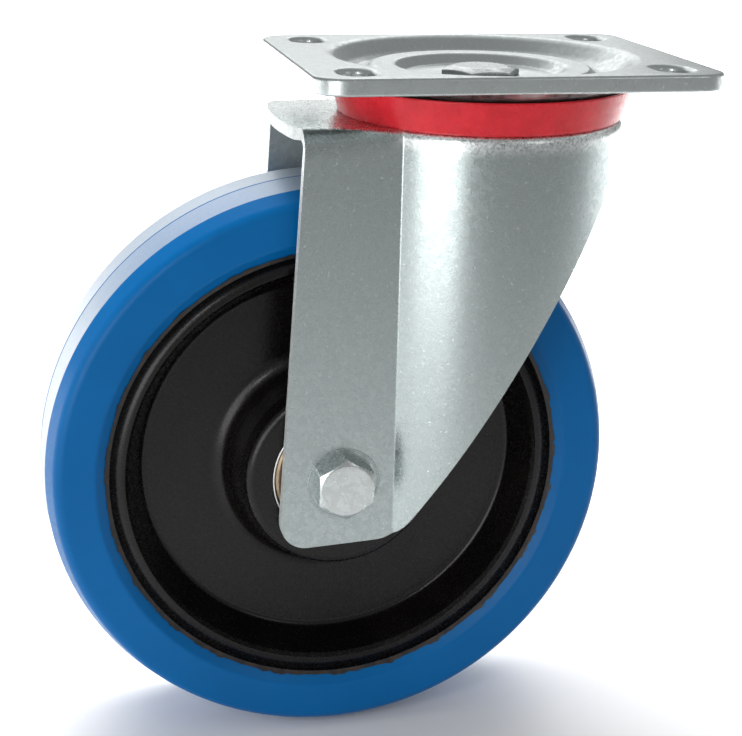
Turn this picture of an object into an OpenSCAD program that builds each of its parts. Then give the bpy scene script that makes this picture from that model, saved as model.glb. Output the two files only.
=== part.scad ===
// Swivel castor with a slotted top plate, a pressed steel fork on a double ball race,
// and a ball-bearing wheel: plastic rim, elastic tyre.
// Millimetres. +Z is up, the origin is the centre of the plate's top face on the swivel
// axis, the axle runs along X and the wheel trails towards -Y.

/* [Top plate] */
// Length of the plate, along Y
plate_l = 135; // [120:1:165]
// Width of the plate, along X
plate_w = 110; // [100:1:135]
// Thickness of the plate's sheet
plate_t = 5.5; // [4.5:0.1:6.6]
// Radius of the plate's corners
plate_corner_r = 10; // [4:1:14]
// Distance between slot rows along Y
slot_pitch_l = 105; // [100:1:126]
// Distance between slot rows along X
slot_pitch_w = 80; // [75:1:96]
// Width of a slot
slot_w = 11; // [9:0.5:13]
// End-to-end length of a slot, along X
slot_l = 16; // [13:0.5:19]

/* [Dish pressed into the plate] */
// Radius where the dish leaves the flat top
dish_r = 54; // [52:0.5:58]
// Depth of the dish's outer trough
trough_depth = 6.3; // [5:0.1:7.5]
// Depth of the raised ridge over the upper race
ridge_depth = 3.7; // [3:0.1:4.4]
// Depth of the floor under the king bolt's head
floor_depth = 7; // [6:0.1:8.4]

/* [Swivel head] */
// Pitch radius of the upper balls
upper_race_r = 33; // [31:0.5:34]
// Diameter of an upper ball
upper_ball_d = 8; // [6.6:0.1:8.4]
// Number of upper balls
upper_ball_n = 24; // [12:1:24]
// Pitch radius of the lower balls
lower_race_r = 22; // [20:0.5:23]
// Diameter of a lower ball
lower_ball_d = 6; // [5:0.1:6.6]
// Number of lower balls
lower_ball_n = 20; // [12:1:20]
// Gap between a ball and its race
ball_play = 0.04; // [0.02:0.01:0.08]
// Diameter of the king bolt's shank
king_d = 16; // [13:0.5:18]
// Width across flats of the king bolt's head and nut
king_af = 24; // [22:0.5:27]
// Height of the king bolt's head
king_head_h = 3; // [2.5:0.1:3.6]
// Height of the king nut
king_nut_h = 8; // [6:0.5:9]

/* [Dust seal] */
// Outer radius of the seal's upper rim
seal_top_r = 52; // [50:0.5:53]
// Outer radius of the seal's lower edge
seal_bottom_r = 48.7; // [47:0.1:50]
// Depth of the seal's upper rim below the plate's top
seal_rim_depth = 8.1; // [7.6:0.1:9]
// Wall of the seal
seal_wall = 2; // [1.2:0.1:2.5]

/* [Fork] */
// Thickness of the fork's sheet
sheet_t = 4; // [3:0.1:4.8]
// Depth of the crown's top below the plate's top
crown_depth = 19.5; // [19:0.1:23.4]
// Height of the gap between the crown and the tyre
tyre_gap = 16.5; // [14:0.5:24]
// Offset of the axle behind the swivel axis
trail = 53; // [46:0.5:60]
// Outer radius of the skirt round the swivel axis
skirt_r = 49; // [48:0.5:52]
// Height of the skirt's lip in front
lip_h = 17; // [14:0.5:20]
// Distance of a leg's rear edge behind the axle
leg_rear = 20.8; // [18:0.1:25]
// Distance of a leg's front corner ahead of the axle
leg_front = 18.2; // [16:0.1:22]
// Distance of a leg's lower edge below the axle
leg_foot = 22.7; // [19:0.1:27]
// Lean of the legs from the upright
leg_lean = 3.1; // [0:0.1:4]
// Radius of the crown's bowed rear edge
crown_bow_r = 125; // [105:1:150]

/* [Axle] */
// Diameter of the axle bolt
axle_d = 12; // [10:0.5:14]
// Width across flats of the axle bolt's head and nut
axle_af = 19; // [17:0.5:22]
// Height of the axle bolt's head
axle_head_h = 7.5; // [6:0.1:9]
// Height of the lock nut
axle_nut_h = 12; // [10:0.5:14]
// Gap between the bolt and the holes it passes
axle_play = 0.2; // [0.1:0.05:0.4]

/* [Wheel] */
// Diameter of the wheel
wheel_d = 200; // [167:1:240]
// Width of the tyre
tyre_w = 50; // [42:1:60]
// Gap between the tyre's side and a fork leg
side_gap = 5; // [4:0.5:8]
// Thickness of the tyre on the rim
tyre_t = 21; // [17:0.5:25]
// Width of the flat lip on the rim's face
lip_w = 6.2; // [5:0.1:8]
// Depth of the rim's lip inside the tyre's side
lip_inset = 2.7; // [2:0.1:4]
// Half thickness of the rim's disc
disc_half = 8.5; // [7:0.5:10]
// Radius of the hub boss at its outer end
boss_r = 31; // [29:0.5:36]
// Radius of the hub boss at the disc
boss_root_r = 40.5; // [38:0.5:46]

/* [Wheel bearings] */
// Outer diameter of a bearing
bearing_od = 47; // [45:0.5:52]
// Width of a bearing
bearing_w = 14; // [12:0.5:15]
// Bore of a bearing
bearing_bore = 20; // [18:0.5:21]
// Diameter of a bearing ball
bearing_ball_d = 7.938; // [7:0.1:8.6]
// Number of balls in a bearing
bearing_ball_n = 8; // [6:1:9]
// Width of the collar that stands each bearing off its leg
collar_w = 1; // [0.8:0.1:2]

/* [Hidden] */
$fn = 96;
eps = 0.01;

wheel_r = wheel_d / 2;
rim_r = wheel_r - tyre_t;
hub_l = tyre_w + 2 * side_gap;
leg_out = hub_l / 2 + sheet_t;
axle_z = -(crown_depth + sheet_t + tyre_gap + wheel_r);
crown_z = -crown_depth;
crown_under = crown_z - sheet_t;

// Bolts and nuts
hole_play = 0.1;
king_chamfer = 1;
head_chamfer = 1.4;
nut_chamfer = 1.2;
nut_collar_h = 3;
insert_wall = 1.6;
insert_h = 2.5;
insert_inset = 1;
bolt_end = 2;
washer_t = 2.5;
nut_x = -leg_out - washer_t;
nut_end_x = nut_x - axle_nut_h;

// Dish, from the middle outwards
plate_floor_z = -floor_depth;
ridge_in_r = upper_race_r - 3.5;
ridge_out_r = upper_race_r + 4;
floor_r = ridge_in_r - 3;
trough_in_r = ridge_out_r + 3.2;
trough_out_r = trough_in_r + 2.8;
dish_overlap = 0.6;
slope_w = 7;
slope_h = 2;
skirt_drop = 3.6;

// Swivel head, from the plate down
plate_under_z = -floor_depth - plate_t;
upper_ball_z = -ridge_depth - plate_t - ball_play - upper_ball_d / 2;
upper_groove_r = upper_ball_d / 2 + ball_play;
upper_land_z = upper_ball_z + upper_ball_d / 4;
race_top_z = upper_ball_z - upper_ball_d / 4;
race_floor_z = upper_ball_z - upper_groove_r - sheet_t;
lower_groove_r = lower_ball_d / 2 + ball_play;
race_step = 5;
race_inner_z = race_top_z - race_step;
lower_ball_z = race_inner_z + lower_ball_d / 4 - lower_groove_r + ball_play;
cup_top_z = lower_ball_z - lower_ball_d / 4;
cup_floor_z = lower_ball_z - lower_groove_r - sheet_t;
race_wall_r = 44.5;
cup_hub_wall = 4.5;
cup_hub_r = king_d / 2 + cup_hub_wall;
cup_r = lower_race_r + lower_ball_d;
crown_hole_r = cup_hub_r + 2;
crown_step_r = lower_race_r + 5;
nut_top_z = cup_floor_z - washer_t;
king_end_z = nut_top_z - king_nut_h - bolt_end;

// Wheel
boss_end = hub_l / 2 - collar_w;
bearing_mid = boss_end - bearing_w / 2;
ball_pitch_r = (bearing_od + bearing_bore) / 4;
bearing_groove_r = bearing_ball_d / 2 + ball_play;
inner_land_r = ball_pitch_r - bearing_ball_d * 0.32;
outer_land_r = ball_pitch_r + bearing_ball_d * 0.35;
tread_crown = 0.8;
shoulder_w = 8.5;
shoulder_slope = 1.6;
shoulder_round = 3.6;
shoulder_facet = 0.29 * shoulder_round;
side_chamfer = 4;
lip_slope = 7;
rim_face = tyre_w / 2 - lip_inset;
lip_in_r = rim_r - lip_w;
disc_r = lip_in_r - lip_slope;
bearing_step = 4.5;
rim_bore_r = bearing_od / 2 - bearing_step;

// Fork: rear corner of a leg at the crown, the crown's bowed rear edge between the legs,
// and where the slanting front edge meets the bottom of the lip
rear_top_y = -trail - leg_rear + (crown_z - axle_z) * tan(leg_lean);
bow_half = leg_out - 1;
crown_rear_y = rear_top_y - (crown_bow_r - sqrt(crown_bow_r * crown_bow_r - bow_half * bow_half));
lip_y = skirt_r * 0.784;
lip_fillet_r = 14;
foot_rear_r = 9;
foot_front_r = 12;
corner_steps = 12;
seat_r = axle_af * 0.65;
seat_depth = 0.3;

zinc = [0.66, 0.69, 0.69];
bright_steel = [0.78, 0.79, 0.80];
race_steel = [0.52, 0.53, 0.55];
shield_tan = [0.60, 0.52, 0.42];

function unit(v) = v / norm(v);
function corner_half(a, c, b) = acos(unit(a - c) * unit(b - c)) / 2;
function corner_centre(a, c, b, r) =
    c + r / sin(corner_half(a, c, b)) * unit(unit(a - c) + unit(b - c));
function corner_ends(a, c, b, r) =
    let (run = r / tan(corner_half(a, c, b))) [c + run * unit(a - c), c + run * unit(b - c)];

// The points of corner c rounded by r, for a convex or a hollow corner
function corner_points(a, c, b, r) = r == 0 ? [c] :
    let (centre = corner_centre(a, c, b, r), ends = corner_ends(a, c, b, r),
         start = ends[0] - centre, stop = ends[1] - centre,
         from = atan2(start[1], start[0]), turn = atan2(stop[1], stop[0]) - from,
         sweep = turn > 180 ? turn - 360 : turn < -180 ? turn + 360 : turn)
    [for (k = [0 : corner_steps]) centre + r * [cos(from + sweep * k / corner_steps),
                                                sin(from + sweep * k / corner_steps)]];

// A convex outline whose corner i is rounded by radii[i]
module rounded_outline(points, radii) {
    n = len(points);
    polygon([for (i = [0 : n - 1])
        each corner_ends(points[(i + n - 1) % n], points[i], points[(i + 1) % n], radii[i])]);
    for (i = [0 : n - 1])
        if (radii[i] > 0)
            translate(corner_centre(points[(i + n - 1) % n], points[i], points[(i + 1) % n], radii[i]))
                circle(r = radii[i]);
}

// Extrudes an outline drawn in (y, z) along X
module along_x(half) {
    translate([-half, 0, 0])
        rotate([90, 0, 90])
            linear_extrude(2 * half) children();
}

// Turns a profile drawn in (radius, x) about the axle
module about_axle() {
    translate([0, -trail, axle_z])
        rotate([0, 90, 0])
            rotate_extrude() children();
}

// A round bar along X on the axle's line, from x0 to x1
module axle_bar(r, x0, x1) {
    translate([x0, -trail, axle_z])
        rotate([0, 90, 0])
            cylinder(r = r, h = x1 - x0);
}

// A torus-shaped ball groove
module groove(pitch_r, r) {
    rotate_extrude() translate([pitch_r, 0]) circle(r = r);
}

// A ring of n balls of diameter d
module ball_ring(n, pitch_r, d) {
    for (i = [0 : n - 1])
        rotate(i * 360 / n) translate([pitch_r, 0, 0]) sphere(d = d);
}

// A hexagonal prism with its top corners turned off by a cone of the given height
module hex_head(af, h, chamfer_h) {
    corner_r = af / 2 / cos(30);
    face_r = af / 2 * 0.8;
    intersection() {
        cylinder(r = corner_r, h = h, $fn = 6);
        union() {
            cylinder(r = corner_r + 1, h = h - chamfer_h);
            translate([0, 0, h - chamfer_h])
                cylinder(r1 = corner_r, r2 = face_r, h = chamfer_h);
        }
    }
}

// ---- Fixed to the frame above ----

module plate_slots() {
    for (sx = [-1, 1], sy = [-1, 1], end = [-1, 1])
        translate([sx * slot_pitch_w / 2 + end * (slot_l - slot_w) / 2,
                   sy * slot_pitch_l / 2, -plate_t - 1])
            cylinder(d = slot_w, h = plate_t + 2);
    for (sx = [-1, 1], sy = [-1, 1])
        translate([sx * slot_pitch_w / 2 - (slot_l - slot_w) / 2,
                   sy * slot_pitch_l / 2 - slot_w / 2, -plate_t - 1])
            cube([slot_l - slot_w, slot_w, plate_t + 2]);
}

module plate_dish() {
    rotate_extrude()
        polygon([[0, plate_floor_z], [floor_r, plate_floor_z],
                 [ridge_in_r, -ridge_depth], [ridge_out_r, -ridge_depth],
                 [trough_in_r, -trough_depth], [trough_out_r, -trough_depth],
                 [dish_r - slope_w, -trough_depth + slope_h], [dish_r, 0],
                 [dish_r + dish_overlap, -plate_t], [dish_r - 5, -plate_t - skirt_drop],
                 [trough_out_r + 2.5, -trough_depth - plate_t], [ridge_out_r + 2, -trough_depth - plate_t],
                 [upper_race_r + upper_ball_d / 2, upper_land_z],
                 [upper_race_r - upper_ball_d / 2, upper_land_z],
                 [floor_r + 1, plate_under_z], [0, plate_under_z]]);
}

module top_plate() {
    color(zinc) difference() {
        union() {
            difference() {
                translate([0, 0, -plate_t]) linear_extrude(plate_t)
                    rounded_outline([[-plate_w / 2, -plate_l / 2], [plate_w / 2, -plate_l / 2],
                                     [plate_w / 2, plate_l / 2], [-plate_w / 2, plate_l / 2]],
                                    [for (i = [0 : 3]) plate_corner_r]);
                translate([0, 0, -plate_t - 1]) cylinder(r = dish_r - dish_overlap, h = plate_t + 2);
            }
            plate_dish();
        }
        translate([0, 0, upper_ball_z]) groove(upper_race_r, upper_groove_r);
        translate([0, 0, plate_under_z - 1]) cylinder(r = king_d / 2 + hole_play, h = plate_t + 2);
        plate_slots();
    }
}

module king_bolt() {
    color(bright_steel) {
        translate([0, 0, plate_floor_z]) rotate(30) hex_head(king_af, king_head_h, king_chamfer);
        translate([0, 0, king_end_z]) cylinder(d = king_d, h = plate_floor_z - king_end_z + eps);
    }
}

module lower_race() {
    color(race_steel) difference() {
        rotate_extrude()
            polygon([[king_d / 2 + hole_play, plate_under_z], [cup_hub_r, plate_under_z],
                     [cup_hub_r, cup_top_z], [cup_r, cup_top_z], [cup_r, cup_floor_z + 2],
                     [cup_r - 2, cup_floor_z], [king_d / 2 + hole_play, cup_floor_z]]);
        translate([0, 0, lower_ball_z]) groove(lower_race_r, lower_groove_r);
    }
}

module king_washer() {
    color(zinc) difference() {
        translate([0, 0, nut_top_z]) cylinder(r = king_d * 0.95, h = washer_t);
        translate([0, 0, nut_top_z - 1]) cylinder(r = king_d / 2 + hole_play, h = washer_t + 2);
    }
}

module king_nut() {
    color(bright_steel) difference() {
        translate([0, 0, nut_top_z]) mirror([0, 0, 1]) rotate(30)
            hex_head(king_af, king_nut_h, nut_chamfer);
        translate([0, 0, king_end_z]) cylinder(d = king_d, h = nut_top_z - king_end_z + 1);
    }
}

module upper_balls() {
    color(race_steel) translate([0, 0, upper_ball_z]) ball_ring(upper_ball_n, upper_race_r, upper_ball_d);
}

module lower_balls() {
    color(race_steel) translate([0, 0, lower_ball_z]) ball_ring(lower_ball_n, lower_race_r, lower_ball_d);
}

// ---- Turns with the fork ----

// Side outline of a leg and the skirt's front, in (y, z)
module side_outline() {
    lip = [lip_y, crown_z - lip_h];
    rear_top = [rear_top_y, crown_z];
    foot_rear = [-trail - leg_rear - leg_foot * tan(leg_lean), axle_z - leg_foot - leg_rear * tan(leg_lean)];
    foot_front = [-trail + leg_front, axle_z - leg_foot + leg_front * tan(leg_lean)];
    lip_end = [skirt_r + 1, crown_z - lip_h];
    polygon(concat([rear_top], corner_points(rear_top, foot_rear, foot_front, foot_rear_r),
                   corner_points(foot_rear, foot_front, lip, foot_front_r),
                   corner_points(foot_front, lip, lip_end, lip_fillet_r), [lip_end, [lip_end[0], crown_z]]));
}

// The fork's blank: inverted U plus the skirt's drum, outside or inside the sheet
module fork_mass(leg_x, drum_r, top_z, leg_corner_r, drum_corner_r) {
    depth = -axle_z + 2 * leg_foot;
    translate([0, -2 * trail, 0])
        rotate([90, 0, 180])
            linear_extrude(2 * trail)
                rounded_outline([[-leg_x, top_z], [-leg_x, -depth], [leg_x, -depth], [leg_x, top_z]],
                                [leg_corner_r, 0, 0, leg_corner_r]);
    rotate_extrude() {
        translate([0, -depth]) square([drum_r, depth + top_z - drum_corner_r]);
        translate([0, top_z - drum_corner_r - 1]) square([drum_r - drum_corner_r, drum_corner_r + 1]);
        translate([drum_r - drum_corner_r, top_z - drum_corner_r]) circle(r = drum_corner_r);
    }
}

module race_dish() {
    difference() {
        rotate_extrude()
            polygon([[crown_hole_r, race_top_z], [race_wall_r, race_top_z], [race_wall_r, crown_under],
                     [race_wall_r - 3, crown_under], [race_wall_r - 5, race_floor_z],
                     [crown_step_r, race_floor_z], [crown_step_r, race_inner_z],
                     [crown_hole_r, race_inner_z]]);
        translate([0, 0, upper_ball_z]) groove(upper_race_r, upper_groove_r);
        translate([0, 0, lower_ball_z]) groove(lower_race_r, lower_groove_r);
    }
}

module fork() {
    color(zinc) difference() {
        union() {
            difference() {
                intersection() {
                    fork_mass(leg_out, skirt_r, crown_z, 5, 2);
                    union() {
                        along_x(skirt_r + 1) side_outline();
                        intersection() {
                            translate([0, crown_rear_y + crown_bow_r, crown_under])
                                cylinder(r = crown_bow_r, h = sheet_t, $fn = 180);
                            translate([-leg_out, -trail * 2, crown_under])
                                cube([2 * leg_out, trail * 2, sheet_t]);
                        }
                    }
                }
                fork_mass(hub_l / 2, skirt_r - sheet_t, crown_under, 1, 1);
                translate([0, 0, crown_under - 1]) cylinder(r = race_wall_r - 1, h = sheet_t + 2);
            }
            race_dish();
        }
        axle_bar(axle_d / 2 + axle_play, -leg_out - 1, leg_out + 1);
        axle_bar(seat_r, leg_out - seat_depth, leg_out + 1);
    }
}

module dust_seal() {
    rim_z = -seal_rim_depth;
    color([0.80, 0.15, 0.18]) rotate_extrude()
        polygon([[seal_top_r, rim_z], [seal_bottom_r, crown_z], [race_wall_r + hole_play, crown_z],
                 [race_wall_r + hole_play, crown_z + seal_wall],
                 [seal_bottom_r - seal_wall, crown_z + seal_wall],
                 [seal_top_r - seal_wall, rim_z - seal_wall / 2]]);
}

module axle_bolt() {
    seat_x = leg_out - seat_depth;
    color(bright_steel) {
        translate([seat_x, -trail, axle_z]) rotate([0, 90, 0]) hex_head(axle_af, axle_head_h, head_chamfer);
        axle_bar(axle_d / 2, nut_end_x - bolt_end, seat_x + eps);
    }
}

module axle_washer() {
    color(zinc) difference() {
        axle_bar(axle_d, nut_x, -leg_out);
        axle_bar(axle_d / 2 + axle_play, nut_x - 1, -leg_out + 1);
    }
}

module axle_nut() {
    color(bright_steel) difference() {
        union() {
            translate([nut_x, -trail, axle_z]) rotate([0, -90, 0])
                hex_head(axle_af, axle_nut_h - nut_collar_h, nut_chamfer);
            axle_bar(axle_af / 2 - 1, nut_end_x, nut_x - axle_nut_h / 2);
        }
        axle_bar(axle_d / 2, nut_end_x - 1, nut_x + 1);
        axle_bar(axle_d / 2 + insert_wall, nut_end_x + insert_inset, nut_end_x + insert_inset + insert_h);
    }
}

module nut_insert() {
    color([0.15, 0.30, 0.65]) difference() {
        axle_bar(axle_d / 2 + insert_wall, nut_end_x + insert_inset, nut_end_x + insert_inset + insert_h);
        axle_bar(axle_d / 2, nut_end_x, nut_x);
    }
}

module axle_sleeve() {
    color(race_steel) difference() {
        axle_bar(bearing_bore / 2, -hub_l / 2, hub_l / 2);
        axle_bar(axle_d / 2 + axle_play, -hub_l / 2 - 1, hub_l / 2 + 1);
    }
}

module bearing_spacer() {
    half = boss_end - bearing_w;
    color(race_steel) difference() {
        axle_bar(inner_land_r - 1, -half, half);
        axle_bar(bearing_bore / 2, -half - 1, half + 1);
    }
}

module end_collars() {
    color(zinc) for (side = [0, 1]) mirror([side, 0, 0]) difference() {
        axle_bar(inner_land_r - 0.5, boss_end, hub_l / 2);
        axle_bar(bearing_bore / 2, boss_end - 1, hub_l / 2 + 1);
    }
}

module inner_ring(side) {
    color(bright_steel) mirror([side, 0, 0]) about_axle() difference() {
        translate([bearing_bore / 2, bearing_mid - bearing_w / 2])
            square([inner_land_r - bearing_bore / 2, bearing_w]);
        translate([ball_pitch_r, bearing_mid]) circle(r = bearing_groove_r);
    }
}

module inner_ring_near() { inner_ring(0); }

module inner_ring_far() { inner_ring(1); }

// ---- Turns with the wheel ----

// A section and its mirror image in one outline; the half's points are (radius, x)
module mirrored_section(half) {
    n = len(half);
    polygon(concat(half, [for (i = [n - 1 : -1 : 0]) [half[i][0], -half[i][1]]]));
}

module tyre() {
    side = tyre_w / 2;
    edge_r = wheel_r - tread_crown;
    corner_r = edge_r - shoulder_slope;
    color([0.02, 0.38, 0.66]) about_axle()
        mirrored_section([[wheel_r, 0.2], [edge_r, side - shoulder_w], [corner_r, side - shoulder_round],
                          [corner_r - shoulder_facet, side - shoulder_facet],
                          [corner_r - shoulder_round, side],
                          [rim_r + side_chamfer, side], [rim_r, rim_face]]);
}

module rim() {
    color([0.07, 0.07, 0.07]) about_axle()
        mirrored_section([[rim_r, rim_face], [lip_in_r, rim_face], [lip_in_r - 1, rim_face - 1],
                          [disc_r + 1, disc_half + 1.2], [disc_r - 1, disc_half],
                          [boss_root_r + 1.5, disc_half], [boss_root_r - 0.8, disc_half + 1.5],
                          [boss_r + 0.7, boss_end - 1.2], [boss_r - 0.5, boss_end],
                          [bearing_od / 2, boss_end], [bearing_od / 2, boss_end - bearing_w],
                          [rim_bore_r, boss_end - bearing_w]]);
}

module outer_ring(side) {
    color(bright_steel) mirror([side, 0, 0]) about_axle() difference() {
        translate([outer_land_r, bearing_mid - bearing_w / 2])
            square([bearing_od / 2 - outer_land_r, bearing_w]);
        translate([ball_pitch_r, bearing_mid]) circle(r = bearing_groove_r);
        for (end = [-1, 1])
            translate([outer_land_r - 0.5, bearing_mid + end * (bearing_w / 2 - 0.9) - 0.5]) square([1.5, 1]);
    }
}

module outer_ring_near() { outer_ring(0); }

module outer_ring_far() { outer_ring(1); }

module shields(side) {
    color(shield_tan) mirror([side, 0, 0]) about_axle()
        for (end = [-1, 1])
            translate([inner_land_r + 0.3, bearing_mid + end * (bearing_w / 2 - 0.9) - 0.35])
                square([outer_land_r + 0.9 - inner_land_r - 0.3, 0.7]);
}

module shields_near() { shields(0); }

module shields_far() { shields(1); }

// ---- Rolls round inside the wheel bearings ----

module bearing_balls(side) {
    color(race_steel) mirror([side, 0, 0]) translate([bearing_mid, -trail, axle_z])
        rotate([0, 90, 0]) ball_ring(bearing_ball_n, ball_pitch_r, bearing_ball_d);
}

module cage(side) {
    color(shield_tan) mirror([side, 0, 0]) translate([bearing_mid, -trail, axle_z]) rotate([0, 90, 0])
        difference() {
            translate([0, 0, -5]) cylinder(r = ball_pitch_r + 1, h = 10);
            translate([0, 0, -6]) cylinder(r = ball_pitch_r - 1, h = 12);
            for (i = [0 : bearing_ball_n - 1])
                rotate([0, 90, i * 360 / bearing_ball_n]) cylinder(r = bearing_groove_r, h = bearing_od / 2);
        }
}

module balls_near() { bearing_balls(0); }

module balls_far() { bearing_balls(1); }

module cage_near() { cage(0); }

module cage_far() { cage(1); }

top_plate();
king_bolt();
lower_race();
king_washer();
king_nut();
upper_balls();
lower_balls();
fork();
dust_seal();
axle_bolt();
axle_washer();
axle_nut();
nut_insert();
axle_sleeve();
bearing_spacer();
end_collars();
inner_ring_near();
inner_ring_far();
tyre();
rim();
outer_ring_near();
outer_ring_far();
shields_near();
shields_far();
balls_near();
cage_near();
balls_far();
cage_far();
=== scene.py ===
import math

import bmesh
import bpy
from mathutils import Euler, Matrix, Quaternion, Vector


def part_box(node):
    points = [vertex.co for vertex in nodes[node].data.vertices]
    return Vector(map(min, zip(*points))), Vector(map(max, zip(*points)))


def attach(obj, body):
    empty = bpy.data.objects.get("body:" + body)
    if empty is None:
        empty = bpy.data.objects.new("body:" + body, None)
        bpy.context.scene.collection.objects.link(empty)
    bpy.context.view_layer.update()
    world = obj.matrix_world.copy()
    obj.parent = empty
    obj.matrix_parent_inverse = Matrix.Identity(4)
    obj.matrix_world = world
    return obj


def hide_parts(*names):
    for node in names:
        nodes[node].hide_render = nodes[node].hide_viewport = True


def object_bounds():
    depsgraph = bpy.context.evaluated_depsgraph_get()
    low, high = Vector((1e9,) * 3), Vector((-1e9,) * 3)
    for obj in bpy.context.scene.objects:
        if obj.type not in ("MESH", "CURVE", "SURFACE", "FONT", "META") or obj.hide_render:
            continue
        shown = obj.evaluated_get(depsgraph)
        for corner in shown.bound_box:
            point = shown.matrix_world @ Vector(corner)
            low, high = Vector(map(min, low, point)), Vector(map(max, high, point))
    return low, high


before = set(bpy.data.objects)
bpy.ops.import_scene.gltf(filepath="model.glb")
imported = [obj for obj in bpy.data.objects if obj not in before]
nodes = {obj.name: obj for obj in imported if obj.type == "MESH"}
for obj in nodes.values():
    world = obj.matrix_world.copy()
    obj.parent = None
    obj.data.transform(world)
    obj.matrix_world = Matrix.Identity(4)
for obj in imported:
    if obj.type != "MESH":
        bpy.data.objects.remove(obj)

cad_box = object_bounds()
mm = 0.001


# ---- Top plate -----------------------------------------------------------------------------
# A 5.5 mm steel sheet blanked to a rounded rectangle, with four slots pierced and a stepped
# dish pressed into it for the upper ball race, then zinc plated. It bolts to the trolley.

plate_low, plate_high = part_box("top_plate")
plate_l = (plate_high.y - plate_low.y) / mm
plate_w = (plate_high.x - plate_low.x) / mm
plate_t = 5.5
plate_corner = 10
slot_half_x, slot_half_y = 40, 52.5
slot_w, slot_l = 11, 16
plate_edge_rounds = (1.0, 0.8)
slot_edge_rounds = (1.9, 0.6)
round_steps = 4
dish_r = 54


def fillet(points, steps=6):
    """A polyline through (a, b, radius) points with each corner turned into an arc."""
    out = []
    for i, (a, b, radius) in enumerate(points):
        here = Vector((a, b))
        if radius == 0 or i in (0, len(points) - 1):
            out.append(here)
            continue
        back = (Vector(points[i - 1][:2]) - here).normalized()
        ahead = (Vector(points[i + 1][:2]) - here).normalized()
        half = back.angle(ahead) / 2
        if half > math.radians(88):
            out.append(here)
            continue
        run = radius / math.tan(half)
        centre = here + (back + ahead).normalized() * radius / math.sin(half)
        start, end = here + back * run - centre, here + ahead * run - centre
        sweep = start.angle_signed(end)
        for k in range(steps + 1):
            turn = -sweep * k / steps
            out.append(centre + Vector((start.x * math.cos(turn) - start.y * math.sin(turn),
                                        start.x * math.sin(turn) + start.y * math.cos(turn))))
    return out


def rectangle_outline(length_x, length_y, radius, centre=(0, 0), steps=10):
    """Points of a rounded rectangle with their outward directions."""
    out = []
    for corner, (sx, sy) in enumerate(((1, 1), (-1, 1), (-1, -1), (1, -1))):
        for k in range(steps + 1):
            turn = math.radians(90 * (corner + k / steps))
            way = Vector((math.cos(turn), math.sin(turn)))
            hub = Vector((centre[0] + sx * (length_x / 2 - radius),
                          centre[1] + sy * (length_y / 2 - radius)))
            out.append((hub + way * radius, way))
    return out


def skin_rings(bm, rings, closed=True):
    """Quads between neighbouring rings of equal length."""
    for ring, following in zip(rings, rings[1:]):
        count = len(ring)
        for i in range(count if closed else count - 1):
            bm.faces.new((ring[i], ring[(i + 1) % count], following[(i + 1) % count], following[i]))


def finished_piece(name, bm, body, covers=(), material=None, weighted=True):
    """Makes a named piece of a bmesh in millimetres and fixes it to its body."""
    bmesh.ops.scale(bm, vec=(mm, mm, mm), verts=bm.verts)
    bmesh.ops.recalc_face_normals(bm, faces=bm.faces)
    mesh = bpy.data.meshes.new(name)
    bm.to_mesh(mesh)
    bm.free()
    mesh.shade_smooth()
    piece = bpy.data.objects.new(name, mesh)
    bpy.context.scene.collection.objects.link(piece)
    if material:
        mesh.materials.append(material)
    if weighted:
        normals = piece.modifiers.new("weighted normals", "WEIGHTED_NORMAL")
        normals.weight = 60
        normals.keep_sharp = True
    if covers:
        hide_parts(*covers)
    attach(piece, body)
    return piece


def edge_ring(bm, outline, inset, z, into):
    """A ring of points along an outline, set back from it into the sheet."""
    return [bm.verts.new((p.x - into * way.x * inset, p.y - into * way.y * inset, z))
            for p, way in outline]


def rolled_edge(bm, outline, top_round, bottom_round, into):
    """The edge of the sheet along an outline. Returns its top and bottom rings."""
    rings = []
    for k in range(round_steps + 1):
        turn = math.radians(90 * k / round_steps)
        rings.append(edge_ring(bm, outline, top_round * (1 - math.sin(turn)),
                               -top_round * (1 - math.cos(turn)), into))
    for k in range(round_steps + 1):
        turn = math.radians(90 * k / round_steps)
        rings.append(edge_ring(bm, outline, bottom_round * (1 - math.cos(turn)),
                               -plate_t + bottom_round * (1 - math.sin(turn)), into))
    skin_rings(bm, rings)
    return rings[0], rings[-1]


def closed_edges(bm, ring):
    """The edges that close a ring of points, made where they are missing."""
    found = []
    for i, vert in enumerate(ring):
        following = ring[(i + 1) % len(ring)]
        edge = bm.edges.get((vert, following)) or bm.edges.new((vert, following))
        found.append(edge)
    return found


bm = bmesh.new()
top_rings, bottom_rings = [], []
slots = [rectangle_outline(slot_l, slot_w, slot_w / 2 - 0.01, (sx * slot_half_x, sy * slot_half_y))
         for sx in (-1, 1) for sy in (-1, 1)]
for outline, rounds, into in ([(rectangle_outline(plate_w, plate_l, plate_corner), plate_edge_rounds, 1)]
                              + [(slot, slot_edge_rounds, -1) for slot in slots]):
    top, bottom = rolled_edge(bm, outline, *rounds, into)
    top_rings.append(top)
    bottom_rings.append(bottom)

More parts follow.
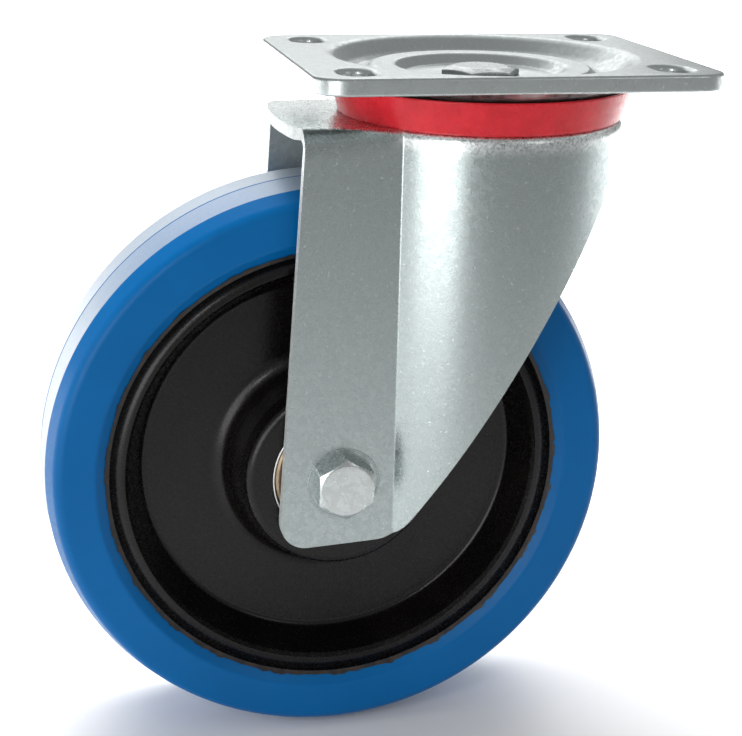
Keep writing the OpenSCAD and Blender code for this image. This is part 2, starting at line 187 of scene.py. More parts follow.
# The dish's upper and lower faces from rim to bolt hole, as (radius, height, corner radius)
dish_top = fillet([(dish_r, 0, 0), (51.7, 0, 6), (46.2, -4.7, 8), (43, -6.3, 5), (40.2, -6.3, 2.2),
                   (37.2, -3.7, 2.2), (29.5, -3.7, 2.8), (25.9, -7, 2.2), (8.1, -7, 0)], 8)
dish_under = fillet([(8.1, -12.5, 0), (27.5, -12.5, 1), (29.5, -11, 1), (36.6, -11, 1), (39.4, -11.8, 2),
                     (45.5, -11.8, 3), (49.3, -9, 2), (dish_r + 0.4, -plate_t, 0)])
dish_steps = 128
dish_rings = []
for radius, z in dish_top + dish_under:
    dish_rings.append([bm.verts.new((radius * math.cos(math.tau * i / dish_steps),
                                     radius * math.sin(math.tau * i / dish_steps), z))
                       for i in range(dish_steps)])
skin_rings(bm, dish_rings)
for rings, rim in ((top_rings, dish_rings[0]), (bottom_rings, dish_rings[-1])):
    edges = [edge for ring in rings + [rim] for edge in closed_edges(bm, ring)]
    bmesh.ops.triangle_fill(bm, use_beauty=True, use_dissolve=False, edges=edges)


def add(tree, kind, inputs=None, **settings):
    """A new shader node. An input takes a number, a colour or the socket that feeds it."""
    made = tree.nodes.new(kind)
    for key, value in settings.items():
        setattr(made, key, value)
    for key, value in (inputs or {}).items():
        if isinstance(value, bpy.types.NodeSocket):
            tree.links.new(value, made.inputs[key])
        else:
            made.inputs[key].default_value = value
    return made


def effect_group(name, inputs, outputs):
    """An empty shader node group with named inputs (name: default) and outputs (name: kind)."""
    group = bpy.data.node_groups.new(name, "ShaderNodeTree")
    for label, default in inputs.items():
        socket = group.interface.new_socket(label, in_out="INPUT", socket_type="NodeSocketFloat")
        socket.default_value = default
    for label, kind in outputs.items():
        group.interface.new_socket(label, in_out="OUTPUT", socket_type="NodeSocket" + kind)
    return group, group.nodes.new("NodeGroupInput").outputs, group.nodes.new("NodeGroupOutput").inputs


def ramp(tree, value, low, high, to_low=0.0, to_high=1.0):
    """A value eased from one range into another."""
    return add(tree, "ShaderNodeMapRange",
               {"Value": value, "From Min": low, "From Max": high, "To Min": to_low, "To Max": to_high},
               interpolation_type="SMOOTHSTEP").outputs["Result"]


def maths(tree, operation, first, second=0.0):
    return add(tree, "ShaderNodeMath", {0: first, 1: second}, operation=operation).outputs[0]


def blended(tree, factor, first, second):
    """Two colours mixed by a factor. Each may be a plain value or a socket."""
    mix = tree.nodes.new("ShaderNodeMix")
    mix.data_type = "RGBA"
    colours = [s for s in mix.inputs if s.type == "RGBA"]
    for socket, value in ((mix.inputs[0], factor), (colours[0], first), (colours[1], second)):
        if isinstance(value, bpy.types.NodeSocket):
            tree.links.new(value, socket)
        else:
            socket.default_value = value if isinstance(value, float) else (*value, 1)
    return [s for s in mix.outputs if s.type == "RGBA"][0]


# Cloudy patches of plating, and the small nicks that handling leaves in it
plating, given, result = effect_group("plating", {"Cloud scale": 120, "Nick scale": 900},
                                      {"Cloud": "Float", "Grain": "Float", "Nicks": "Float"})
place = add(plating, "ShaderNodeTexCoord").outputs["Object"]
cloud = add(plating, "ShaderNodeTexNoise", {"Vector": place, "Scale": given["Cloud scale"], "Detail": 5.0,
                                            "Roughness": 0.62, "Distortion": 0.6})
grain = add(plating, "ShaderNodeTexNoise", {"Vector": place, "Scale": given["Nick scale"], "Detail": 3.0})
spot_scale = maths(plating, "MULTIPLY", given["Nick scale"], 0.42)
spots = add(plating, "ShaderNodeTexNoise", {"Vector": place, "Scale": spot_scale, "Detail": 2.0})
plating.links.new(ramp(plating, cloud.outputs[0], 0.36, 0.66), result["Cloud"])
plating.links.new(grain.outputs[0], result["Grain"])
plating.links.new(ramp(plating, spots.outputs[0], 0.66, 0.74), result["Nicks"])


def new_material(name):
    """A new material with its node tree and its shader."""
    made = bpy.data.materials.new(name)
    made.use_nodes = True
    return made, made.node_tree, made.node_tree.nodes["Principled BSDF"]


def metal_material(name, dark, light, rough, cloud_scale=60, nick_scale=900, bump=0.12, nick_light=0.25):
    """Plated or ground steel: cloudy in colour and gloss, with fine grain and nicks."""
    made, tree, shader = new_material(name)
    shader.inputs["Metallic"].default_value = 1.0
    effect = add(tree, "ShaderNodeGroup", {}, node_tree=plating)
    effect.inputs["Cloud scale"].default_value = cloud_scale
    effect.inputs["Nick scale"].default_value = nick_scale
    colour = blended(tree, effect.outputs["Cloud"], dark, light)
    nick_colour = tuple(min(1.0, c + nick_light) for c in light)
    colour = blended(tree, maths(tree, "MULTIPLY", effect.outputs["Nicks"], 0.6), colour, nick_colour)
    tree.links.new(colour, shader.inputs["Base Color"])
    rougher = maths(tree, "ADD", ramp(tree, effect.outputs["Cloud"], 0, 1, rough + 0.05, rough - 0.05),
                    ramp(tree, effect.outputs["Grain"], 0.3, 0.7, -0.03, 0.03))
    tree.links.new(rougher, shader.inputs["Roughness"])
    height = maths(tree, "ADD", maths(tree, "MULTIPLY", effect.outputs["Grain"], 0.4),
                   maths(tree, "MULTIPLY", effect.outputs["Nicks"], -0.5))
    relief = add(tree, "ShaderNodeBump", {"Height": height, "Strength": bump, "Distance": 0.0004})
    tree.links.new(relief.outputs["Normal"], shader.inputs["Normal"])
    return made


zinc_plate = metal_material("zinc plated plate", (0.50, 0.545, 0.54), (0.545, 0.59, 0.585), 0.34, 420, 2400, 0.2)
finished_piece("pressed_top_plate", bm, "mounting_plate", ["top_plate"], zinc_plate)


# ---- Upper and lower ball rings ------------------------------------------------------------
# Loose hardened balls, 24 of 8 mm that carry the load above the fork and 20 of 6 mm under it,
# packed in grease between the pressed races.

def finish_nodes(material, *names):
    """Gives the named parts one material in place of their plain one."""
    for name in names:
        nodes[name].data.materials.clear()
        nodes[name].data.materials.append(material)


ball_steel = metal_material("ball steel", (0.40, 0.40, 0.41), (0.55, 0.55, 0.56), 0.16, 90, 1400, 0.05)
finish_nodes(ball_steel, "upper_balls", "lower_balls")


# ---- Fork ----------------------------------------------------------------------------------
# One 4 mm steel blank drawn into a crown, two flat legs and a round skirt in front, which
# stiffens the legs. Zinc plated. The crown's middle is the cup for the ball races.

axle_low, axle_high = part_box("axle_sleeve")
axle_y = (axle_low.y + axle_high.y) / 2 / mm
axle_z = (axle_low.z + axle_high.z) / 2 / mm
leg_x = 34
skirt_r = 49
crown_z = -19.5
lip_z = -36.5
sheet_t = 4
crease_round = 1
rear_bend, bend_ease = 7, 3.6
crease_bend, skirt_bend = 3.4, 3.2
crown_bow_r = 125
race_edge_r, corner_flare = 46, 2.0
seal_foot_r = 44
rear_reach, front_reach, foot_drop = 20.8, 18.2, 22.7
lean = math.tan(math.radians(3.1))

crease_y = -math.sqrt((skirt_r + crease_round) ** 2 - (leg_x + crease_round) ** 2)
foot_rear = (axle_y - rear_reach - foot_drop * lean, axle_z - foot_drop - rear_reach * lean)
foot_front = (axle_y + front_reach, axle_z - foot_drop + front_reach * lean)
lower_edge = fillet([(axle_y - rear_reach + (crown_z - axle_z) * lean, crown_z, 0), (*foot_rear, 9),
                     (*foot_front, 12), (skirt_r * 0.784, lip_z, 14), (skirt_r, lip_z, 0)], 10)
rear_top_y = lower_edge[0].x


def edge_height(y):
    """Height of the fork's lower edge at y, ahead of the leg's foot."""
    for here, following in zip(lower_edge[1:], lower_edge[2:]):
        if here.x <= y <= following.x and following.x > here.x:
            return here.y + (following.y - here.y) * (y - here.x) / (following.x - here.x)
    return lower_edge[-1].y


# Columns of the wall from the near leg's rear edge round the skirt to the far leg's:
# top point, bottom point, outward direction and bend radius
leg_columns = 26
wall = []
foot = [p for p in lower_edge[1:] if p.x < crease_y - 0.5]
foot.append(Vector((crease_y, edge_height(crease_y))))
foot_run = [0.0]
for here, following in zip(foot, foot[1:]):
    foot_run.append(foot_run[-1] + (following - here).length)
for i in range(leg_columns + 1):
    t = i / leg_columns
    want = t * foot_run[-1]
    k = max(j for j in range(len(foot)) if foot_run[j] <= want + 1e-9)
    k = min(k, len(foot) - 2)
    low = foot[k].lerp(foot[k + 1], (want - foot_run[k]) / (foot_run[k + 1] - foot_run[k]))
    top_y = rear_top_y + (crease_y - rear_top_y) * t
    bend = rear_bend - bend_ease * t
    wall.append(((leg_x, top_y), (leg_x, low.x, low.y), (1, 0), bend))
crease_centre = Vector((leg_x + crease_round, crease_y))
first_turn = math.atan2(crease_y, leg_x + crease_round)
crease_columns = 6
for k in range(1, crease_columns + 1):
    turn = math.pi + first_turn * k / crease_columns
    p = crease_centre + crease_round * Vector((math.cos(turn), math.sin(turn)))
    way = (crease_centre - p).normalized()
    wall.append(((p.x, p.y), (p.x, p.y, edge_height(p.y)), (way.x, way.y),
                 crease_bend - 0.2 * k / crease_columns))
skirt_columns = 56
for k in range(1, skirt_columns + 1):
    turn = first_turn + (math.pi / 2 - first_turn) * k / skirt_columns
    way = (math.cos(turn), math.sin(turn))
    y = skirt_r * way[1]
    wall.append(((skirt_r * way[0], y), (skirt_r * way[0], y, edge_height(y)), way, skirt_bend))
wall += [((-top[0], top[1]), (-low[0], low[1], low[2]), (-way[0], way[1]), bend)
         for top, low, way, bend in reversed(wall[:-1])]

bm = bmesh.new()
wall_rows, bend_rows = 44, 6
grid = []
for top, low, way, bend in wall:
    column = []
    head_z = crown_z - bend
    for row in range(wall_rows, -1, -1):
        u = row / wall_rows
        column.append(bm.verts.new((top[0] + (low[0] - top[0]) * u, top[1] + (low[1] - top[1]) * u,
                                    head_z + (low[2] - head_z) * u)))
    for row in range(1, bend_rows + 1):
        turn = math.radians(90 * row / bend_rows)
        inward = bend * (1 - math.cos(turn))
        column.append(bm.verts.new((top[0] - way[0] * inward, top[1] - way[1] * inward,
                                    crown_z - bend * (1 - math.sin(turn)))))
    grid.append(column)
for column, following in zip(grid, grid[1:]):
    for row in range(len(column) - 1):
        bm.faces.new((column[row], following[row], following[row + 1], column[row + 1]))
crown_columns = 28
crown = []
for i in range(leg_columns + 1):
    t = i / leg_columns
    start, end = grid[i][-1], grid[-1 - i][-1]
    line = [start]
    for j in range(1, crown_columns):
        x = start.co.x + (end.co.x - start.co.x) * j / crown_columns
        share = (x / start.co.x) ** 4
        rear_edge = rear_top_y - (leg_x ** 2 - x ** 2) / (2 * crown_bow_r)
        inner_at = -math.sqrt(max((race_edge_r + corner_flare * share) ** 2 - x ** 2, 0))
        line.append(bm.verts.new((x, rear_edge + (inner_at - rear_edge) * t, crown_z)))
    line.append(end)
    crown.append(line)
skin_rings(bm, crown, closed=False)
inner_loop = crown[-1] + [column[-1] for column in reversed(grid[leg_columns + 1:-leg_columns - 1])]
under_seal = [bm.verts.new((*(v.co.xy.normalized() * seal_foot_r), crown_z)) for v in inner_loop]
skin_rings(bm, [inner_loop, under_seal])
bmesh.ops.recalc_face_normals(bm, faces=bm.faces)
if sum(f.normal.z for f in bm.faces) < 0:
    bmesh.ops.reverse_faces(bm, faces=bm.faces)

# Plated sheet. The skirt's shoulder is scuffed by the drawing die and also carries a painted highlight: its base
# colour is made near-white there, in speckles
fork_zinc = metal_material("zinc plated fork", (0.395, 0.448, 0.446), (0.425, 0.478, 0.476), 0.26,
                           420, 2400, 0.22)
tree = fork_zinc.node_tree
shader = tree.nodes["Principled BSDF"]
place = add(tree, "ShaderNodeTexCoord").outputs["Object"]
axes = add(tree, "ShaderNodeSeparateXYZ", {"Vector": place}).outputs
reach = add(tree, "ShaderNodeVectorMath", {0: place, 1: (1, 1, 0)}, operation="MULTIPLY").outputs[0]
reach = add(tree, "ShaderNodeVectorMath", {0: reach}, operation="LENGTH").outputs["Value"]
scuffs = add(tree, "ShaderNodeTexNoise",
             {"Vector": place, "Scale": 1100.0, "Detail": 4.0, "Roughness": 0.7}).outputs[0]
# Painted highlight with scuffs: a speckled band round the skirt's shoulder, bright in colour and a little rougher
scuffs_and_painted_highlight = maths(tree, "MULTIPLY", ramp(tree, axes["Z"], -0.0275, -0.0215), ramp(tree, reach, 0.0440, 0.0470))
scuffs_and_painted_highlight = maths(tree, "MULTIPLY", scuffs_and_painted_highlight, ramp(tree, axes["Y"], -0.040, -0.034))
scuffs_and_painted_highlight = maths(tree, "MULTIPLY", scuffs_and_painted_highlight, ramp(tree, scuffs, 0.30, 0.66))
plated = shader.inputs["Base Color"].links[0].from_socket
# The crown's flat top, outside about 46 mm from the swivel axis, is given a lighter colour
lighter_crown_top = maths(tree, "MULTIPLY", ramp(tree, axes["Z"], -0.0200, -0.0196),
                  ramp(tree, reach, 0.0450, 0.0460, 0.0, 0.85))
plated = blended(tree, lighter_crown_top, plated, (0.70, 0.74, 0.735))
tree.links.new(blended(tree, scuffs_and_painted_highlight, plated, (0.86, 0.88, 0.875)), shader.inputs["Base Color"])
plain_rough = shader.inputs["Roughness"].links[0].from_socket
tree.links.new(maths(tree, "ADD", plain_rough, maths(tree, "MULTIPLY", scuffs_and_painted_highlight, 0.14)),
               shader.inputs["Roughness"])
sheared = metal_material("sheared sheet edge", (0.46, 0.49, 0.485), (0.62, 0.65, 0.645), 0.50,
                         700, 2400, 0.4)
sheared.node_tree.nodes["Principled BSDF"].inputs["Metallic"].default_value = 0.3
dull_zinc = metal_material("dull zinc inside", (0.30, 0.34, 0.335), (0.38, 0.42, 0.415), 0.50,
                           300, 1600, 0.2)
dull_zinc.node_tree.nodes["Principled BSDF"].inputs["Metallic"].default_value = 0.45
fork_piece = finished_piece("pressed_fork", bm, "swivel_fork", ["fork"], fork_zinc, weighted=False)
sheet = fork_piece.modifiers.new("sheet", "SOLIDIFY")
sheet.thickness = sheet_t * mm
sheet.offset = -1
sheet.use_even_offset = True
fork_piece.data.materials.append(sheared)
fork_piece.data.materials.append(dull_zinc)
sheet.material_offset_rim = 1
sheet.material_offset = 2
rounding = fork_piece.modifiers.new("cut edge", "BEVEL")
rounding.width = 0.5 * mm
rounding.segments = 2
rounding.limit_method = "ANGLE"
rounding.angle_limit = math.radians(50)
fork_piece.modifiers.new("weighted normals", "WEIGHTED_NORMAL")


def turned(name, profile, body, covers=(), material=None, axis="Z", mirrored=False, steps=128):
    """A piece turned about the swivel axis (Z) or the axle (X). The profile is (radius, place along it)."""
    bm = bmesh.new()
    rings = []
    for radius, along in profile:
        ring = []
        for i in range(steps):
            turn = math.tau * i / steps
            a, b = radius * math.cos(turn), radius * math.sin(turn)
            if axis == "Z":
                ring.append(bm.verts.new((a, b, along)))
            else:
                ring.append(bm.verts.new((-along if mirrored else along, axle_y + a, axle_z + b)))
        rings.append(ring)
    rings.append(rings[0])
    skin_rings(bm, rings)
    return finished_piece(name, bm, body, covers, material)


turned("fork_race_cup",
       fillet([(14.5, -16, 0), (26.6, -16, 0.5), (29, -15.2, 0.6), (30, -14.9, 0.6), (36, -15, 0.6),
               (44.5, -15.2, 0.8), (44.5, -23.4, 0.8), (41.5, -23.6, 1), (39.5, -21.4, 1),
               (27, -21.4, 0.5), (27, -20, 0.5), (14.5, -20, 0.5), (14.5, -16, 0)]),
       "swivel_fork", (), fork_zinc)
turned("coined_axle_seat",
       fillet([(11.7, 33.8, 0), (12.0, 34.16, 0.12), (12.45, 34.16, 0.12), (12.8, 33.8, 0), (11.7, 33.8, 0)]),
       "swivel_fork", (), fork_zinc, axis="X")


# ---- Lower race, king bolt, washer and nut --------------------------------------------------
# The turned lower race sits under the fork's crown on a 16 mm bolt with a thin hexagon head
# in the dish. The nut underneath clamps it all to the plate.

race_steel = metal_material("race steel", (0.36, 0.36, 0.37), (0.50, 0.50, 0.51), 0.28, 70, 1100, 0.08)
finish_nodes(race_steel, "lower_race")


def hexagon(bm, af, height, face_r, slope, place, turn_deg=0.0, bore=0.0, facet=16):
    """A hexagon head or nut: six flats, the corners turned off by a cone.

    place(r, turn, h) gives a point.
    """
    rings = [[], [], [], [], []]
    for i in range(6 * facet):
        turn = math.tau * i / (6 * facet)
        reach = af / 2 / math.cos((turn + math.pi / 6) % (math.pi / 3) - math.pi / 6)
        cut = height - max(0.0, reach - face_r) * slope
        angle = turn + math.radians(turn_deg)
        rings[0].append(bm.verts.new(place(reach, angle, 0.0)))
        rings[1].append(bm.verts.new(place(reach, angle, cut)))
        rings[2].append(bm.verts.new(place(face_r, angle, height)))
        rings[3].append(bm.verts.new(place(max(bore, face_r - 1.4), angle, height)))
        rings[4].append(bm.verts.new(place(max(bore, 0.4), angle, height)))
    skin_rings(bm, rings)
    if not bore:
        bm.faces.new(rings[4])
    bm.faces.new(reversed(rings[0]))


def shank(bm, radius, place, start, end, chamfer=1.5):
    """A bolt's shank from under its head to its chamfered end."""
    way = math.copysign(1, end - start)
    rings = []
    for r, h in ((radius, start), (radius, end - way * chamfer), (radius - chamfer * 0.7, end), (0.5, end)):
        rings.append([bm.verts.new(place(r, math.tau * i / 64, h)) for i in range(64)])
    skin_rings(bm, rings)
    bm.faces.new(rings[-1])
    bm.faces.new(reversed(rings[0]))


def edge_break(piece, width, angle=22, segments=2):
    """Breaks a piece's sharp edges by the given width in millimetres."""
    soften = piece.modifiers.new("broken edges", "BEVEL")
    soften.width = width * mm
    soften.segments = segments
    soften.limit_method = "ANGLE"
    soften.angle_limit = math.radians(angle)
    even = piece.modifiers.new("weighted normals", "WEIGHTED_NORMAL")
    even.keep_sharp = True


king_zinc = metal_material("plated king bolt", (0.40, 0.43, 0.43), (0.50, 0.53, 0.53), 0.30, 260, 1800)
bm = bmesh.new()
hexagon(bm, 24, 3, 8.9, 0.26, lambda r, turn, h: (r * math.cos(turn), r * math.sin(turn), -7 + h))
shank(bm, 8, lambda r, turn, h: (r * math.cos(turn), r * math.sin(turn), h), -7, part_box("king_bolt")[0].z / mm)
king_head = finished_piece("hexagon_king_bolt", bm, "mounting_plate", ["king_bolt"],
                           king_zinc, weighted=False)
edge_break(king_head, 0.35, 11)
finish_nodes(king_zinc, "king_washer", "king_nut")


# ---- Dust seal -----------------------------------------------------------------------------
# A red moulded ring that stands on the fork's crown and flares up towards the plate, to keep
# dirt out of the upper race. It turns with the fork.

seal_red, tree, shader = new_material("red moulded seal")
shader.inputs["Specular IOR Level"].default_value = 0.3
shader.inputs["Subsurface Weight"].default_value = 0.10
shader.inputs["Subsurface Scale"].default_value = 0.003
shader.inputs["Subsurface Radius"].default_value = (1.0, 0.25, 0.2)
shader.inputs["Coat Weight"].default_value = 0.12
shader.inputs["Coat Roughness"].default_value = 0.10
place = add(tree, "ShaderNodeTexCoord").outputs["Object"]
streaks = add(tree, "ShaderNodeTexNoise", {"Vector": place, "Scale": 110.0, "Detail": 3.0, "Distortion": 0.4})
tree.links.new(blended(tree, ramp(tree, streaks.outputs[0], 0.30, 0.70),
                       (0.50, 0.008, 0.016), (0.60, 0.013, 0.025)), shader.inputs["Base Color"])


# The fine texture that a mould leaves in rubber and plastic: a gloss that varies, and its height
moulded_skin, given, result = effect_group(
    "moulded skin", {"Scale": 700, "Detail": 3, "Smooth roughness": 0.3, "Rough roughness": 0.4},
    {"Roughness": "Float", "Height": "Float"})
skin = add(moulded_skin, "ShaderNodeTexNoise",
           {"Vector": add(moulded_skin, "ShaderNodeTexCoord").outputs["Object"],
            "Scale": given["Scale"], "Detail": given["Detail"]}).outputs[0]
moulded_skin.links.new(ramp(moulded_skin, skin, 0.3, 0.7, given["Smooth roughness"], given["Rough roughness"]),
                       result["Roughness"])
moulded_skin.links.new(skin, result["Height"])


def mould_finish(tree, shader, scale, detail, smooth, rough, strength, distance):
    """Puts the moulded skin on a material, with its own scale, gloss range and relief."""
    effect = add(tree, "ShaderNodeGroup", {}, node_tree=moulded_skin)
    for label, value in (("Scale", scale), ("Detail", detail), ("Smooth roughness", smooth),
                         ("Rough roughness", rough)):
        effect.inputs[label].default_value = value
    tree.links.new(effect.outputs["Roughness"], shader.inputs["Roughness"])
    relief = add(tree, "ShaderNodeBump",
                 {"Height": effect.outputs["Height"], "Strength": strength, "Distance": distance})
    tree.links.new(relief.outputs["Normal"], shader.inputs["Normal"])


mould_finish(tree, shader, 420, 2, 0.24, 0.36, 0.08, 0.0003)
turned("red_dust_seal",
       fillet([(44.7, -19.5, 0), (45.8, -19.5, 0.4), (47.7, -20.0, 0.3), (48.6, -19.2, 0.6), (52, -7.5, 0.5),
               (50.6, -8.9, 0.5), (46.9, -17.5, 0.6), (44.7, -17.5, 0.4), (44.7, -19.5, 0)]),
       "swivel_fork", ["dust_seal"], seal_red)


# ---- Tyre ----------------------------------------------------------------------------------
# A blue elastic rubber tyre moulded on to the rim. The tread has a slight crown with the
# mould's parting line round its middle, and the shoulders are rounded.

tyre_low, tyre_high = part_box("tyre")
wheel_r = (tyre_high.z - tyre_low.z) / 2 / mm
tyre_half = (tyre_high.x - tyre_low.x) / 2 / mm
rim_r = wheel_r - 21

half_section = fillet([(rim_r - 0.2, 0, 0), (rim_r - 0.2, tyre_half - 3.0, 0.2),
                       (rim_r + 0.8, tyre_half - 2.2, 0.4), (rim_r + 3.8, tyre_half, 2.5),
                       (wheel_r - 4.0, tyre_half, 4.0), (wheel_r - 0.9, tyre_half - 8.3, 0.5),
                       (wheel_r - 0.15, 0.5, 0.2), (wheel_r, 0.25, 0)], 10)
section = half_section + [Vector((p.x, -p.y)) for p in reversed(half_section)][:-1]
tyre_blue, tree, shader = new_material("blue elastic rubber")
shader.inputs["Specular IOR Level"].default_value = 0.14
place = add(tree, "ShaderNodeTexCoord").outputs["Object"]
cloud = add(tree, "ShaderNodeTexNoise", {"Vector": place, "Scale": 30.0, "Detail": 5.0, "Roughness": 0.6})
rubber = blended(tree, ramp(tree, cloud.outputs[0], 0.35, 0.65),
                 (0.0002, 0.100, 0.300), (0.0004, 0.108, 0.322))
# Painted reflection: the tread's colour turns pale grey where it is seen at a grazing angle, standing in for the
# bright surroundings it reflects
flat_angle = add(tree, "ShaderNodeLayerWeight", {"Blend": 0.5}).outputs["Facing"]
across = maths(tree, "ABSOLUTE", add(tree, "ShaderNodeSeparateXYZ", {"Vector": place}).outputs["X"])
painted_grazing_reflection = maths(tree, "MULTIPLY", ramp(tree, flat_angle, 0.58, 0.78, 0.0, 0.85),
              ramp(tree, across, 0.0164, 0.0172, 1.0, 0.0))
tree.links.new(blended(tree, painted_grazing_reflection, rubber, (0.42, 0.47, 0.51)), shader.inputs["Base Color"])
mould_finish(tree, shader, 700, 3, 0.30, 0.40, 0.06, 0.0004)
turned("blue_tyre", section, "wheel", ["tyre"], tyre_blue, axis="X", steps=224)

# Thin ragged film that squeezed out between rim and tyre in the mould
flash_brown, tree, shader = new_material("moulding flash")
place = add(tree, "ShaderNodeTexCoord").outputs["Object"]
film = add(tree, "ShaderNodeTexNoise", {"Vector": place, "Scale": 260.0, "Detail": 4.0})
tree.links.new(blended(tree, ramp(tree, film.outputs[0], 0.4, 0.6),
                       (0.003, 0.003, 0.003), (0.020, 0.012, 0.008)), shader.inputs["Base Color"])
tree.links.new(ramp(tree, film.outputs[0], 0.3, 0.7, 0.35, 0.6), shader.inputs["Roughness"])
film_steps = 720
for side, way in (("near", 1), ("far", -1)):
    bm = bmesh.new()
    rings = [[], [], []]
    for i in range(film_steps):
        turn = math.tau * i / film_steps
        ragged = (math.sin(23 * turn + 1.1 * math.sin(5 * turn))
                  + 0.7 * math.sin(61 * turn + 2.0 * math.sin(7 * turn))
                  + 0.5 * math.sin(137 * turn + 3.0 * math.sin(11 * turn)))
        width = max(0.0, 0.10 + 0.30 * ragged)
        for ring, reach, x in zip(rings, (rim_r - 0.95, rim_r + 0.15, rim_r + 0.35 + width),
                                  (tyre_half - 2.64, tyre_half - 2.35, tyre_half - 2.25 + 0.78 * width)):
            ring.append(bm.verts.new((way * x, axle_y + reach * math.cos(turn), axle_z + reach * math.sin(turn))))
    skin_rings(bm, rings)
    finished_piece(f"moulding_flash_{side}", bm, "wheel", (), flash_brown)


# ---- Rim -----------------------------------------------------------------------------------
# A black glass-filled nylon moulding: hub boss, thin disc and a deep lip that the tyre grips.

rim_half = tyre_half - 2.7
boss_end = 29
bearing_w, bearing_r = 14, 23.5
disc_half = 8.5
rim_section = fillet([(19, boss_end - bearing_w, 0), (bearing_r, boss_end - bearing_w, 0.3),
                      (bearing_r, boss_end, 0.3), (32.0, boss_end, 3.4), (34.0, 23, 6),
                      (37.0, disc_half, 7.0), (66.2, disc_half, 2.4), (71.6, rim_half - 1.6, 1.2),
                      (72.8, rim_half, 0.25), (rim_r - 0.1, rim_half, 0)], 8)
rim_black, tree, shader = new_material("black nylon rim")
shader.inputs["Specular IOR Level"].default_value = 0.30
place = add(tree, "ShaderNodeTexCoord").outputs["Object"]
cloud = add(tree, "ShaderNodeTexNoise", {"Vector": place, "Scale": 45.0, "Detail": 5.0})
tree.links.new(blended(tree, ramp(tree, cloud.outputs[0], 0.35, 0.65),
                       (0.0024, 0.0021, 0.0019), (0.0042, 0.0037, 0.0033)), shader.inputs["Base Color"])
mould_finish(tree, shader, 900, 3, 0.22, 0.30, 0.10, 0.0004)
section = rim_section + [Vector((p.x, -p.y)) for p in reversed(rim_section)]
turned("black_rim", section, "wheel", ["rim"], rim_black, axis="X", steps=192)


# ---- Wheel bearings ------------------------------------------------------------------------
# Two 47 mm ball bearings pressed into the hub, with pressed shields that have gone brown with
# grease, spaced by a tube on the axle's sleeve.

shield_tan = metal_material("greased shield", (0.25, 0.18, 0.115), (0.36, 0.27, 0.18), 0.36,
                            260, 1600, 0.1, 0.08)
bright_ring = metal_material("ground bearing ring", (0.50, 0.50, 0.50), (0.66, 0.66, 0.66), 0.24,
                             90, 1200, 0.05)
for side, mirrored in (("near", False), ("far", True)):
    turned(f"bearing_outer_ring_{side}",
           fillet([(20.2, 15.1, 0), (bearing_r, 15.1, 0.6), (bearing_r, 28.95, 0.5), (22.7, 28.95, 0.3),
                   (22.5, 27.3, 0), (20.2, 27.3, 0), (20.2, 15.1, 0)]),
           "wheel", [f"outer_ring_{side}"], bright_ring, axis="X", mirrored=mirrored)
    turned(f"bearing_shield_{side}",
           fillet([(13.6, 27.9, 0), (15.2, 27.9, 0.4), (16.0, 28.5, 0.4), (17.3, 28.5, 0.3), (17.7, 28.1, 0.2),
                   (18.1, 28.5, 0.3), (21.4, 28.5, 0.5), (22.45, 28.1, 0.3), (22.45, 27.4, 0),
                   (13.6, 27.4, 0), (13.6, 27.9, 0)]),
           "wheel", [f"shields_{side}"], shield_tan, axis="X", mirrored=mirrored)
    finish_nodes(bright_ring, f"inner_ring_{side}")
    finish_nodes(ball_steel, f"balls_{side}")
    finish_nodes(shield_tan, f"cage_{side}")
finish_nodes(bright_ring, "axle_sleeve", "bearing_spacer", "end_collars")


# ---- Axle bolt, washer and lock nut ---------------------------------------------------------
# An M12 hexagon bolt goes through both legs and the sleeve. A washer and a nylon-insert lock
# nut hold it on the far side.

bolt_zinc = metal_material("plated axle bolt", (0.58, 0.62, 0.615), (0.64, 0.68, 0.675), 0.27, 260, 1800)
head_x = 33.7
bm = bmesh.new()
hexagon(bm, 19, 7.5, 8.9, 0.55,
        lambda r, turn, h: (head_x + h, axle_y + r * math.sin(turn), axle_z + r * math.cos(turn)), 30)
shank(bm, 6, lambda r, turn, h: (h, axle_y + r * math.sin(turn), axle_z + r * math.cos(turn)),
      head_x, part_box("axle_bolt")[0].x / mm)
bolt_head = finished_piece("hexagon_axle_bolt", bm, "swivel_fork", ["axle_bolt"],
                           bolt_zinc, weighted=False)
edge_break(bolt_head, 0.3)
finish_nodes(bolt_zinc, "axle_washer", "axle_nut")
insert_blue, tree, shader = new_material("nylon lock ring")
place = add(tree, "ShaderNodeTexCoord").outputs["Object"]
fine = add(tree, "ShaderNodeTexNoise", {"Vector": place, "Scale": 300.0, "Detail": 3.0})
tree.links.new(blended(tree, fine.outputs[0], (0.02, 0.06, 0.28), (0.04, 0.12, 0.42)), shader.inputs["Base Color"])
tree.links.new(ramp(tree, fine.outputs[0], 0.3, 0.7, 0.35, 0.5), shader.inputs["Roughness"])
finish_nodes(insert_blue, "nut_insert")


# ---- Floor, light and camera ---------------------------------------------------------------
# A pale studio floor, large soft lights, and a long lens.

floor_z = cad_box[0].z
bm = bmesh.new()
bmesh.ops.create_grid(bm, x_segments=4, y_segments=4, size=9.0)
floor_mesh = bpy.data.meshes.new("studio_floor")
bm.to_mesh(floor_mesh)
bm.free()
floor = bpy.data.objects.new("studio_floor", floor_mesh)
floor.location.z = floor_z - 0.0005
bpy.context.scene.collection.objects.link(floor)
pale, tree, shader = new_material("pale floor")
place = add(tree, "ShaderNodeTexCoord").outputs["Object"]
paper = add(tree, "ShaderNodeTexNoise", {"Vector": place, "Scale": 3.0, "Detail": 3.0})
tree.links.new(blended(tree, paper.outputs[0], (0.90, 0.90, 0.90), (0.93, 0.93, 0.93)),
               shader.inputs["Base Color"])
shader.inputs["Roughness"].default_value = 0.9
shader.inputs["Specular IOR Level"].default_value = 0.1
floor_mesh.materials.append(pale)

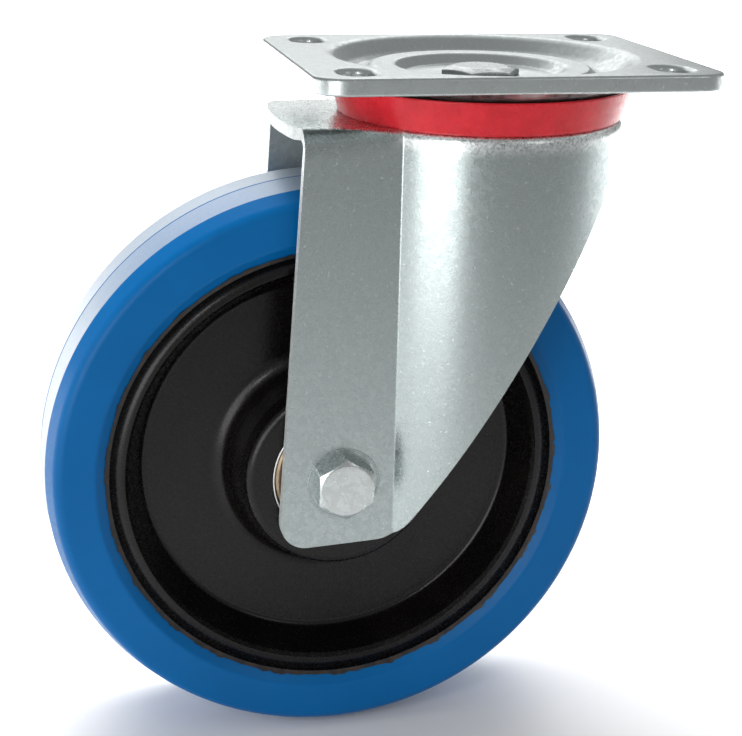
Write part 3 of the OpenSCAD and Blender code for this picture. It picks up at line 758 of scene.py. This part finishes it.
world = bpy.data.worlds.new("studio")
bpy.context.scene.world = world
world.use_nodes = True
world.node_tree.nodes["Background"].inputs["Color"].default_value = (1, 1, 1, 1)
world.node_tree.nodes["Background"].inputs["Strength"].default_value = 0.36


def soft_light(name, place, aim, width, height, watts):
    """A rectangular soft box at place, facing aim."""
    data = bpy.data.lights.new(name, "AREA")
    data.shape = "RECTANGLE"
    data.size, data.size_y = width, height
    data.energy = watts
    light = bpy.data.objects.new(name, data)
    light.location = place
    light.rotation_mode = "QUATERNION"
    light.rotation_quaternion = (Vector(aim) - Vector(place)).to_track_quat("-Z", "Y")
    bpy.context.scene.collection.objects.link(light)
    return light


floor_box = soft_light("floor_box", (-1.7, 0, 0.95), (-1.7, 0, -0.24), 3.2, 5.0, 140)
floor_box.visible_glossy = False
floor_box.data.spread = math.radians(70)
soft_light("top_card", (-1.3, 0, 1.7), (0, 0, 0), 1.6, 1.0, 2.5)
soft_light("back_card", (-2.3, 0.15, 1.05), (0, 0, -0.02), 1.9, 1.2, 11)
soft_light("left_box", (0.585, -0.585, -0.05), (0, -0.03, -0.12), 0.50, 0.38, 2.2)
soft_light("left_key", (0.71, -0.55, 0.35), (0, -0.03, -0.1), 0.16, 0.16, 0.9)
soft_light("right_key", (0.75, 0.47, 0.38), (0, 0, -0.05), 0.16, 0.16, 0.35)
side_fill = soft_light("side_fill", (-0.1, -1.3, 0.1), (0, 0, -0.05), 0.8, 0.6, 4)
side_fill.visible_glossy = False
soft_light("right_box", (0.0, 1.1, 0.2), (0, 0.02, -0.1), 0.25, 0.8, 0.3)

camera_data = bpy.data.cameras.new("camera")
camera_data.lens = 77.7
camera_data.sensor_width = 36
camera = bpy.data.objects.new("camera", camera_data)
camera.location = (0.52687, -0.16344, 0.07089)
camera.rotation_mode = "QUATERNION"
camera.rotation_quaternion = (Euler((math.radians(90 - 18.54), 0, math.radians(76.4))).to_quaternion()
                              @ Quaternion((0, 0, 1), math.radians(1.35)))
camera_data.clip_start, camera_data.clip_end = 0.05, 50
bpy.context.scene.collection.objects.link(camera)
bpy.context.scene.camera = camera
bpy.context.scene.view_settings.view_transform = "Standard"
